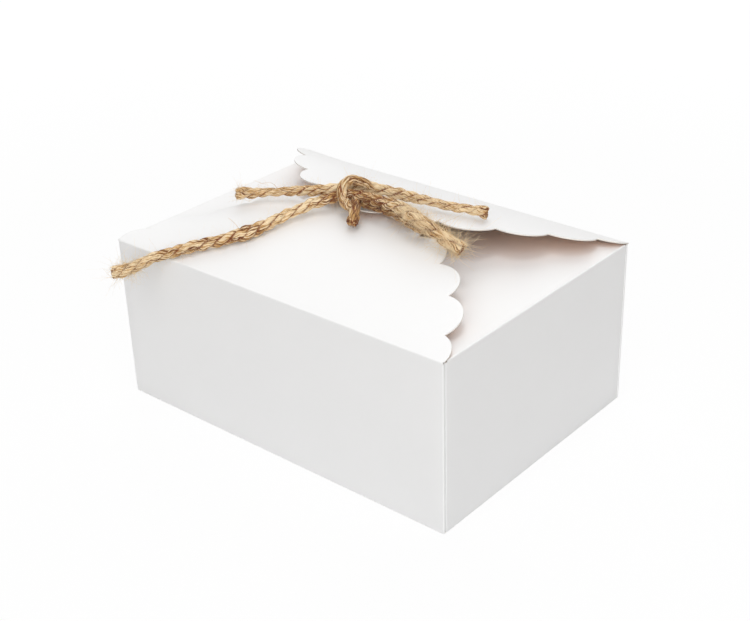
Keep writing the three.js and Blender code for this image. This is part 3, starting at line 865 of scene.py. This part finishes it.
def wander(random, shape, s, longest):
    """Smooth random curves of s between about -1 and 1: a few sines each, of falling length and height."""
    value = np.zeros((*shape, len(s)))
    for part in range(WAVES):
        wave = longest / WAVE_RATIO ** part * random.uniform(*WAVE_SPREAD, (*shape, 1))
        value += np.sin(2 * math.pi * (s / wave + random.uniform(0, 1, (*shape, 1)))) * WAVE_FALL ** part
    return value / WAVE_PEAK


def tubes(centre, radius, outward, flat, sides):
    """Points of tubes on rows of centres: centre + r (flat cos b across + sin b outward) round each one.

    The tube's across direction is square to its own way and to the outward direction."""
    way = np.gradient(centre, axis=-2)
    way /= np.linalg.norm(way, axis=-1, keepdims=True) + 1e-12
    out = outward - (outward * way).sum(-1, keepdims=True) * way
    out /= np.linalg.norm(out, axis=-1, keepdims=True) + 1e-12
    across = np.cross(way, out)
    b = 2 * math.pi * np.arange(sides) / sides
    ring = (np.cos(b)[:, None] * flat * across[..., None, :] + np.sin(b)[:, None] * out[..., None, :])
    return centre[..., None, :] + radius[..., None, None] * ring


def tube_faces(count, stations, sides):
    """Faces round count tubes, the caps that close them, and each face's tube, station and side."""
    tube, i, j = np.meshgrid(np.arange(count), np.arange(stations - 1), np.arange(sides), indexing="ij")
    start = (tube * stations + i) * sides
    following = (j + 1) % sides
    walls = np.stack([start + j, start + following, start + sides + following, start + sides + j], -1)
    ends = np.arange(count)[:, None] * stations * sides + np.arange(sides)[None, :]
    caps = np.concatenate([ends[:, ::-1], ends + (stations - 1) * sides])
    return walls.reshape(-1, 4), caps, (tube, i, j)


def bundle_mesh(parts):
    """Points, faces, face-corner UVs and point values of several sets of tubes."""
    points, faces, uvs, tints, painted_shades = [], [], [], [], []
    start = 0
    for centre, radius, outward, flat, sides, s, tint, depth in parts:
        count, stations = centre.shape[:2]
        cloud = tubes(centre, radius, outward, flat, sides)
        walls, caps, (tube, i, j) = tube_faces(count, stations, sides)
        corner_i = np.stack([i, i, i + 1, i + 1], -1)
        corner_j = np.stack([j, j + 1, j + 1, j], -1)
        u = s[corner_i] if s.ndim == 1 else s[tube[..., None], corner_i]
        v = tube[..., None] + corner_j / sides
        cap_tube = np.concatenate([np.arange(count)] * 2)
        cap_s = np.repeat([s[0], s[-1]], count) if s.ndim == 1 else np.concatenate([s[:, 0], s[:, -1]])
        cap_uv = np.stack([np.broadcast_to(cap_s[:, None], caps.shape),
                           cap_tube[:, None] + np.arange(sides) / sides], -1)
        points.append(cloud.reshape(-1, 3))
        faces += (walls + start).tolist() + (caps + start).tolist()
        uvs += [np.stack([u, v], -1).reshape(-1, 2), cap_uv.reshape(-1, 2)]
        tints.append(np.broadcast_to(tint[..., None], (count, stations, sides)).ravel())
        # depth: painted shade between the plies, for each point
        painted_shades.append(np.broadcast_to(depth[..., None], (count, stations, sides)).ravel())
        start += count * stations * sides
    return (np.concatenate(points), faces, np.concatenate(uvs),
            {"tint": np.concatenate(tints), "depth": np.concatenate(painted_shades)})


def laid_parts(strand, start, end, cut_start=False, cut_end=False, cut_tint=0.0):
    """Fibre bundles and plain cores of a stretch of a laid strand, as two sets of tubes.

    A ply's middle goes round the strand's centreline, and its bundles round the ply the other way:
    centre + PLY_OUT d e + PLY_RING d (cos f e + sin f t), where e and t turn with the lay and f with the
    spin."""
    sizes = twine()
    random = np.random.default_rng(strand.seed)
    plies, bundles = sizes.plies, sizes.bundles

    def uneven(measure, *shape):
        amount, longest = UNEVEN[measure]
        return amount * wander(random, shape, strand.s, longest)

    angle = strand.turn + 2 * math.pi * np.arange(plies)[:, None] / plies
    angle = angle + uneven("ply_turn", plies)
    out = np.cos(angle)[..., None] * strand.side + np.sin(angle)[..., None] * strand.up
    round_way = -np.sin(angle)[..., None] * strand.side + np.cos(angle)[..., None] * strand.up
    fat = 1 + uneven("ply_girth", plies)
    middle = strand.centre + (PLY_OUT * strand.size * (1 + uneven("ply_out", plies)))[..., None] * out
    spin = -strand.turn * (1 + sizes.lay / sizes.spin)
    own = (spin + 2 * math.pi * np.arange(bundles)[:, None] / bundles)[None]
    own = own + uneven("bundle_turn", plies, bundles)
    ring = PLY_RING * strand.size * fat[:, None] * (1 + uneven("bundle_out", plies, bundles))
    face = np.cos(own)[..., None] * out[:, None] + np.sin(own)[..., None] * round_way[:, None]
    centre = middle[:, None] + ring[..., None] * face
    girth = random.uniform(*BUNDLE_GIRTHS, (plies, bundles, 1))
    girth = girth * (1 + uneven("bundle_girth", plies, bundles))
    radius = BUNDLE * strand.size * fat[:, None] * girth
    tint = random.normal(0, TINT_SPREAD, (plies, bundles, 1)) + uneven("bundle_tint", plies, bundles)
    # the strand's shade table adds tone and painted light and shade to each bundle
    tint = tint + strand.shade
    # painted shade: the bundles that lie deep between the plies are darkened as shade would fall there
    gone = np.linalg.norm(centre - strand.centre, axis=-1) / strand.size
    inward = np.clip((SHADE_BETWEEN_PLIES[0] - gone) / SHADE_BETWEEN_PLIES[1], 0, 1)
    cut = strand.between(start, end)
    count = plies * bundles

    def pick(value):
        value = np.broadcast_to(value, (plies, bundles, len(strand.s)) + value.shape[3:])
        return value[:, :, cut].reshape(count, -1, *value.shape[3:])

    centre, radius, face, tint, inward = (pick(v) for v in (centre, radius, face, tint, inward))
    for flag, edge in ((cut_start, 0), (cut_end, -1)):  # a cut end: bundles of uneven length
        if flag:
            reach = np.abs(strand.s[cut] - strand.s[cut][edge])
            push = random.uniform(*CUT_UNEVEN, (count, 1)) * np.clip(1 - reach / CUT_REACH, 0, 1)
            way = strand.tangent[cut] * (-1 if edge == 0 else 1)
            centre = centre + push[..., None] * way
            tint = tint + cut_tint * np.clip(CUT_STATIONS - reach / STATION, 0, 1)
    bundles_part = (centre, radius, face, BUNDLE_FLAT, BUNDLE_SIDES, strand.s[cut], tint, inward)
    core = slice(cut.start, cut.stop, 2)  # the core is plain, so every other station is enough
    core_radius = (PLY_CORE * strand.size * fat)[:, core]
    # the core gets a darker tint and painted shade, for the gaps between the bundles
    core_part = (middle[:, core], core_radius, out[:, core], 1.0, CORE_SIDES, strand.s[core],
                 np.full(core_radius.shape, CORE_SHADE_TINT), np.full(core_radius.shape, CORE_PAINTED_SHADE))
    return [bundles_part, core_part]


def hair_parts(strand, start, end, density, seed, longest=0.0011, spread=1.0, width=None):
    """Stray fibres of a stretch: each leaves the surface along the strand and out from it, and curls.

    A fibre is root + L (t v + t^2 k / 2 + t^3 m / 6), kept over the lid."""
    random = np.random.default_rng(seed)
    count = max(1, int(density * (end - start)))
    places = start + (end - start) * random.uniform(0, 1, count)
    at = np.clip(np.searchsorted(strand.s, places), 0, len(strand.s) - 1)
    around = random.uniform(0, 2 * math.pi, count)
    out = np.cos(around)[:, None] * strand.side[at] + np.sin(around)[:, None] * strand.up[at]
    root = strand.centre[at] + out * (strand.size[at] * HAIR_ROOT)[:, None]
    free = root[:, 2] > lid_height(root[:, 0], root[:, 1]) - HAIR_SUNK  # not those under the back flap
    way = random.choice([-1.0, 1.0], count)[:, None] * strand.tangent[at]
    first = way + out * (random.uniform(*HAIR_LEAN, count) * spread)[:, None]
    first = first + random.normal(0, HAIR_SCATTER, (count, 3))
    first /= np.linalg.norm(first, axis=1, keepdims=True)
    bend = random.normal(0, HAIR_BEND, (count, 3)) - out * HAIR_DROOP
    curl = random.normal(0, HAIR_CURL, (count, 3))
    length = random.gamma(HAIR_SHAPE, longest / 2 / HAIR_SHAPE, count) + HAIR_SHORTEST
    length = np.minimum(length, HAIR_CAP * longest)
    t = np.linspace(0, 1, HAIR_POINTS)[None, :, None]
    points = root[:, None] + length[:, None, None] * (t * first[:, None] + t ** 2 / 2 * bend[:, None]
                                                      + t ** 3 / 6 * curl[:, None])
    ground = lid_height(points[..., 0], points[..., 1]) + HAIR_CLEAR
    points[..., 2] = np.maximum(points[..., 2], ground)
    taper = 1 - HAIR_TAPER * t[..., 0]
    radius = (width or twine().hair_width) / 2 * random.uniform(*HAIR_WIDTHS, (count, 1)) * taper
    # the strand's shade table, with its painted light and shade, carries over to the stray fibres
    tint = np.broadcast_to(random.normal(*HAIR_TINT, (count, 1)) + strand.shade[at, None], radius.shape)
    upward = np.broadcast_to(out[:, None] + HAIR_SKEW, points.shape)
    along = places[:, None] + length[:, None] * t[0, :, 0]
    return [(points[free], radius[free], upward[free], 1.0, HAIR_SIDES, along[free], tint[free],
             np.zeros(radius[free].shape))]


def stray_parts(curves):
    """Long single fibres: each is a cubic curve steered by four points."""
    t = np.linspace(0, 1, STRAY_POINTS)[:, None]
    weights = np.concatenate([(1 - t) ** 3, 3 * t * (1 - t) ** 2, 3 * t ** 2 * (1 - t), t ** 3], 1)
    parts = []
    for number, curve in enumerate(curves):
        points = (weights @ np.array(curve) + (0, 0, TIE_HEIGHT))[None]
        radius = STRAY_RADIUS * (1 - STRAY_TAPER * t.T)
        upward = np.broadcast_to(STRAY_OUTWARD, points.shape)
        place = STRAY_GRAIN[0] * number + STRAY_GRAIN[1] * t.T
        parts.append((points, radius, upward, 1.0, STRAY_SIDES, place,
                      np.full(radius.shape, STRAY_TINT), np.zeros(radius.shape)))
    return parts


def twine_piece(name, parts, lift=0.0):
    """Tubes as one piece of jute, which rides on the back lid flap."""
    points, faces, uv, values = bundle_mesh(parts)
    paint = material("laid_jute" if not lift else "stray_jute", jute_paint, twine(), lift)
    made = piece(name, points, faces, [paint], uv=uv, values=values)
    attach(made, "back_lid")
    return made


def strands():
    """The five strands of the tie. Each table gives a measure at lengths along the strand."""
    # The shade tables paint light and shade into the tint: painted shade where a strand lies in shadow in
    # the knot and under the back flap, painted light where the wrap shades the short strand, and lighter or
    # darker tone elsewhere.
    return {
        "short": Strand(SHORT_STRAND, (0, 0, 1), (
            (0, 0.0056), (0.003, 0.0056), (0.006, 0.0051), (0.010, 0.0045), (0.014, 0.0040), (0.021, 0.0041),
            (0.027, 0.0045), (0.034, 0.0050), (0.045, 0.0048), (0.060, 0.0052), (0.074, 0.0056),
            (0.082, 0.0046), (0.088, 0.0042), (0.102, 0.0041), (0.106, 0.0044), (0.109, 0.0053),
            (0.112, 0.0062)), phase=0.4, seed=11,
            # painted light on the short strand under the wrap, 0.046 to 0.058
            shade=((0, 0), (0.040, 0), (0.046, 2.2), (0.058, 2.0), (0.068, 0.4), (0.112, 0.3))),
        "long": Strand(LONG_STRAND, (0, 0, 1), (
            (0, 0.0058), (0.005, 0.0060), (0.012, 0.0052), (0.018, 0.0046), (0.024, 0.0050), (0.036, 0.0052),
            (0.045, 0.0052), (0.052, 0.0056), (0.058, 0.0065), (0.062, 0.0063), (0.068, 0.0054),
            (0.075, 0.0048), (0.090, 0.0050), (0.105, 0.0052), (0.130, 0.0054), (0.142, 0.0062),
            (0.155, 0.0058), (0.165, 0.0062), (0.172, 0.0068)),
            lay=((0, 0.018), (0.12, 0.0175), (0.140, 0.020), (0.150, 0.023), (0.172, 0.028)),
            phase=1.3, seed=12,
            # painted shade on the long strand in the knot, 0.100 to 0.128, and lighter tone elsewhere
            shade=((0, 0.9), (0.014, 0.7), (0.024, 0.1), (0.064, 0), (0.070, 0.8), (0.090, 0.9),
                   (0.100, -1.2), (0.112, -1.0), (0.128, -0.7), (0.136, 1.0), (0.150, 1.2), (0.157, 0.1),
                   (0.164, 0.6), (0.172, 1.4))),
        "tucked": Strand(TUCKED_STRAND, (0, 0, 1), ((0, 0.0044), (0.07, 0.0044)), phase=2.2, seed=13,
                         # painted shade on the tucked strand, where it runs under the knot and the back flap
                         shade=((0, -1.6), (0.024, -1.4), (0.032, -0.9), (0.045, -0.4))),
        "wrap": Strand(WRAP, (1, 0, 0), ((0, 0.0022), (0.004, 0.0042), (0.010, 0.0050), (0.032, 0.0046)),
                       lay=((0, 0.03), (0.03, 0.02)), phase=0.2, seed=14),
        "stub": Strand(STUB, (0, 0, 1), ((0, 0.0046), (0.008, 0.0050), (0.0125, 0.0056)),
                       lay=((0, 0.016), (0.02, 0.018)), phase=1.0, seed=15, shade=((0, -1.0), (0.02, -1.0))),
    }


# Operators

class CAKEBOX_OT_stage(bpy.types.Operator):
    """Makes the floor, the lamps, the sky and the camera"""

    bl_idname = "cakebox.stage"
    bl_label = "Stage"

    def execute(self, context):
        scene, sizes = context.scene, context.scene.cake_box_stage
        turn = np.linspace(0, 2 * math.pi, FLOOR_SPOKES)
        ring = np.linspace(FLOOR_MIDDLE, 1, FLOOR_RINGS)[:, None] ** 2 * sizes.floor
        points = np.stack(np.broadcast_arrays(ring * np.cos(turn), ring * np.sin(turn), 0.0), -1)
        faces = grid_faces(FLOOR_RINGS, FLOOR_SPOKES, 0).tolist() + [list(range(FLOOR_SPOKES - 1))]
        floor = piece("floor", points.reshape(-1, 3), faces, [floor_paint()])
        floor.data.flip_normals()

        for name, side, power, place in (
            ("soft_box", sizes.key_size, sizes.key, KEY_PLACE),
            ("fill_lamp", FILL_SIZE, sizes.fill, FILL_PLACE),
            ("back_lamp", BACK_SIZE, sizes.back, BACK_PLACE),
        ):
            light = bpy.data.lights.new(name, "AREA")
            light.size = side
            light.energy = power
            lamp = bpy.data.objects.new(name, light)
            lamp.location = place
            lamp.rotation_euler = Vector(place).to_track_quat("Z", "Y").to_euler()
            scene.collection.objects.link(lamp)

        sky = Paint("sky", "worlds")
        camera_ray, glossy_ray, clear_ray = (
            sky.node("ShaderNodeLightPath", None, None, f"Is {kind} Ray")
            for kind in ("Camera", "Glossy", "Transmission"))
        seen = sky.node("ShaderNodeMath", {"operation": "ADD", "use_clamp": True},
                        {0: camera_ray + glossy_ray, 1: clear_ray})
        light = sky.node("ShaderNodeBackground", None, {"Color": SKY_COLOUR, "Strength": sizes.sky})
        white = sky.node("ShaderNodeBackground", None, {"Color": (1, 1, 1, 1)})
        scene.world = sky.end_in(sky.node("ShaderNodeMixShader", None, {0: seen, 1: light, 2: white}),
                                 "ShaderNodeOutputWorld")

        lens = bpy.data.cameras.new("camera")
        lens.lens = FOCAL_LENGTH
        lens.sensor_width = 36
        lens.clip_start, lens.clip_end = 0.01, 50
        camera = bpy.data.objects.new("camera", lens)
        camera.matrix_world = Matrix(CAMERA_PLACE)
        scene.collection.objects.link(camera)
        scene.camera = camera
        scene.view_settings.view_transform = "Standard"
        return {"FINISHED"}


class CAKEBOX_OT_tails(bpy.types.Operator):
    """Makes the twine's tails and the tucked strand, with their stray fibres"""

    bl_idname = "cakebox.tails"
    bl_label = "Twine tails"

    def execute(self, context):
        made = strands()
        sizes = context.scene.cake_box_twine
        for name, key, start, end, far_end in (
            ("twine_tail_short", "short", 0, SHORT_KNOT[0], "bare"),
            ("twine_end_back", "short", SHORT_KNOT[1], made["short"].length, "bare"),
            ("twine_tail_long", "long", 0, LONG_KNOT[0], "bare"),
            ("twine_end_front", "long", LONG_KNOT[1], made["long"].length, "bare"),
            ("twine_tuck", "tucked", TUCKED_KNOT[1], made["tucked"].length, "object"),
        ):
            strand = made[key]
            from_tip = start == 0
            cord = twine_piece(f"{name}_jute", laid_parts(strand, start, end, from_tip, not from_tip))
            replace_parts(cord, name)
            hairs = hair_parts(strand, start, end, sizes.hairs, strand.seed + HAIR_SEED)
            for stretch, *fray in FRAYS.get(name, ()):
                span = (0, stretch) if from_tip else (end - stretch, end)
                hairs += hair_parts(strand, *span, *fray)
            fuzz = twine_piece(f"{name}_hairs", hairs + stray_parts(STRAYS.get(name, ())), HAIR_LIFT)
            line = strand.line(start, end)
            if from_tip:  # every cord is followed from the knot
                line = line[::-1]
        return {"FINISHED"}


class CAKEBOX_OT_knot(bpy.types.Operator):
    """Makes the knot with its wrap and the wrap's cut stub"""

    bl_idname = "cakebox.knot"
    bl_label = "Knot"

    def execute(self, context):
        made = strands()
        density = context.scene.cake_box_twine.hairs
        spans = {"short": SHORT_KNOT, "long": LONG_KNOT, "tucked": TUCKED_KNOT,
                 "wrap": (0, made["wrap"].length), "stub": (0, made["stub"].length)}
        join = 1.02 * STATION  # the knot's stretches share their end stations with the tails
        parts, hairs = [], []
        for key, before, after, *cuts in (
            ("short", join, join),
            ("long", join, join),
            ("tucked", 0, join),
            ("wrap", 0, 0, True, True),
            ("stub", 0, 0, False, True, STUB_CUT_TINT),
        ):
            start, end = spans[key]
            parts += laid_parts(made[key], start - before, end + after, *cuts)
        for key, seed in (("short", 81), ("long", 82), ("wrap", 83), ("stub", 84), ("tucked", 85)):
            hairs += hair_parts(made[key], *spans[key], density, seed)
        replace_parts(twine_piece("twine_knot_jute", parts), "twine_knot")
        twine_piece("twine_knot_hairs", hairs, HAIR_LIFT)
        return {"FINISHED"}


class CAKEBOX_OT_tray(bpy.types.Operator):
    """Makes the base, the four walls and the four corner webs"""

    bl_idname = "cakebox.tray"
    bl_label = "Tray"

    def execute(self, context):
        base_sheet()
        for side, (_, lid) in SIDES.items():
            wall_sheet(side, lid)
        for front in (True, False):
            for left in (True, False):
                web_sheet(front, left)
        return {"FINISHED"}


class CAKEBOX_OT_flaps(bpy.types.Operator):
    """Makes the lid flaps and the dust flaps, with the creases that they turn on"""

    bl_idname = "cakebox.flaps"
    bl_label = "Flaps"

    def execute(self, context):
        for side, (_, lid) in SIDES.items():
            flap_sheet(side, lid)
            crease_sheet(side, lid)
        return {"FINISHED"}


class CAKEBOX_PT_panel(bpy.types.Panel):
    """Lists the steps of the cake box"""

    bl_label = "Cake Box"
    bl_idname = "CAKEBOX_PT_panel"
    bl_space_type = "VIEW_3D"
    bl_region_type = "UI"
    bl_category = "Cake Box"

    def draw(self, context):
        for step in STEPS:
            self.layout.operator(step.bl_idname)
        for key, group in GROUPS.items():
            box = self.layout.box()
            for name in group.__annotations__:
                box.prop(getattr(context.scene, key), name)


STEPS = (CAKEBOX_OT_stage, CAKEBOX_OT_tails, CAKEBOX_OT_knot, CAKEBOX_OT_tray, CAKEBOX_OT_flaps)
GROUPS = {"cake_box_card": CakeBoxCard, "cake_box_twine": CakeBoxTwine, "cake_box_stage": CakeBoxStage}


def register():
    for one in (*GROUPS.values(), *STEPS, CAKEBOX_PT_panel):
        bpy.utils.register_class(one)
    for name, group in GROUPS.items():
        setattr(bpy.types.Scene, name, PointerProperty(type=group))


def unregister():
    for name in GROUPS:
        delattr(bpy.types.Scene, name)
    for one in reversed((*GROUPS.values(), *STEPS, CAKEBOX_PT_panel)):
        bpy.utils.unregister_class(one)


def main():
    """Registers the classes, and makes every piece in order."""
    register()
    bpy.ops.cakebox.stage()
    bpy.ops.cakebox.tails()
    bpy.ops.cakebox.knot()
    bpy.ops.cakebox.tray()
    bpy.ops.cakebox.flaps()


if __name__ == "__main__":
    main()
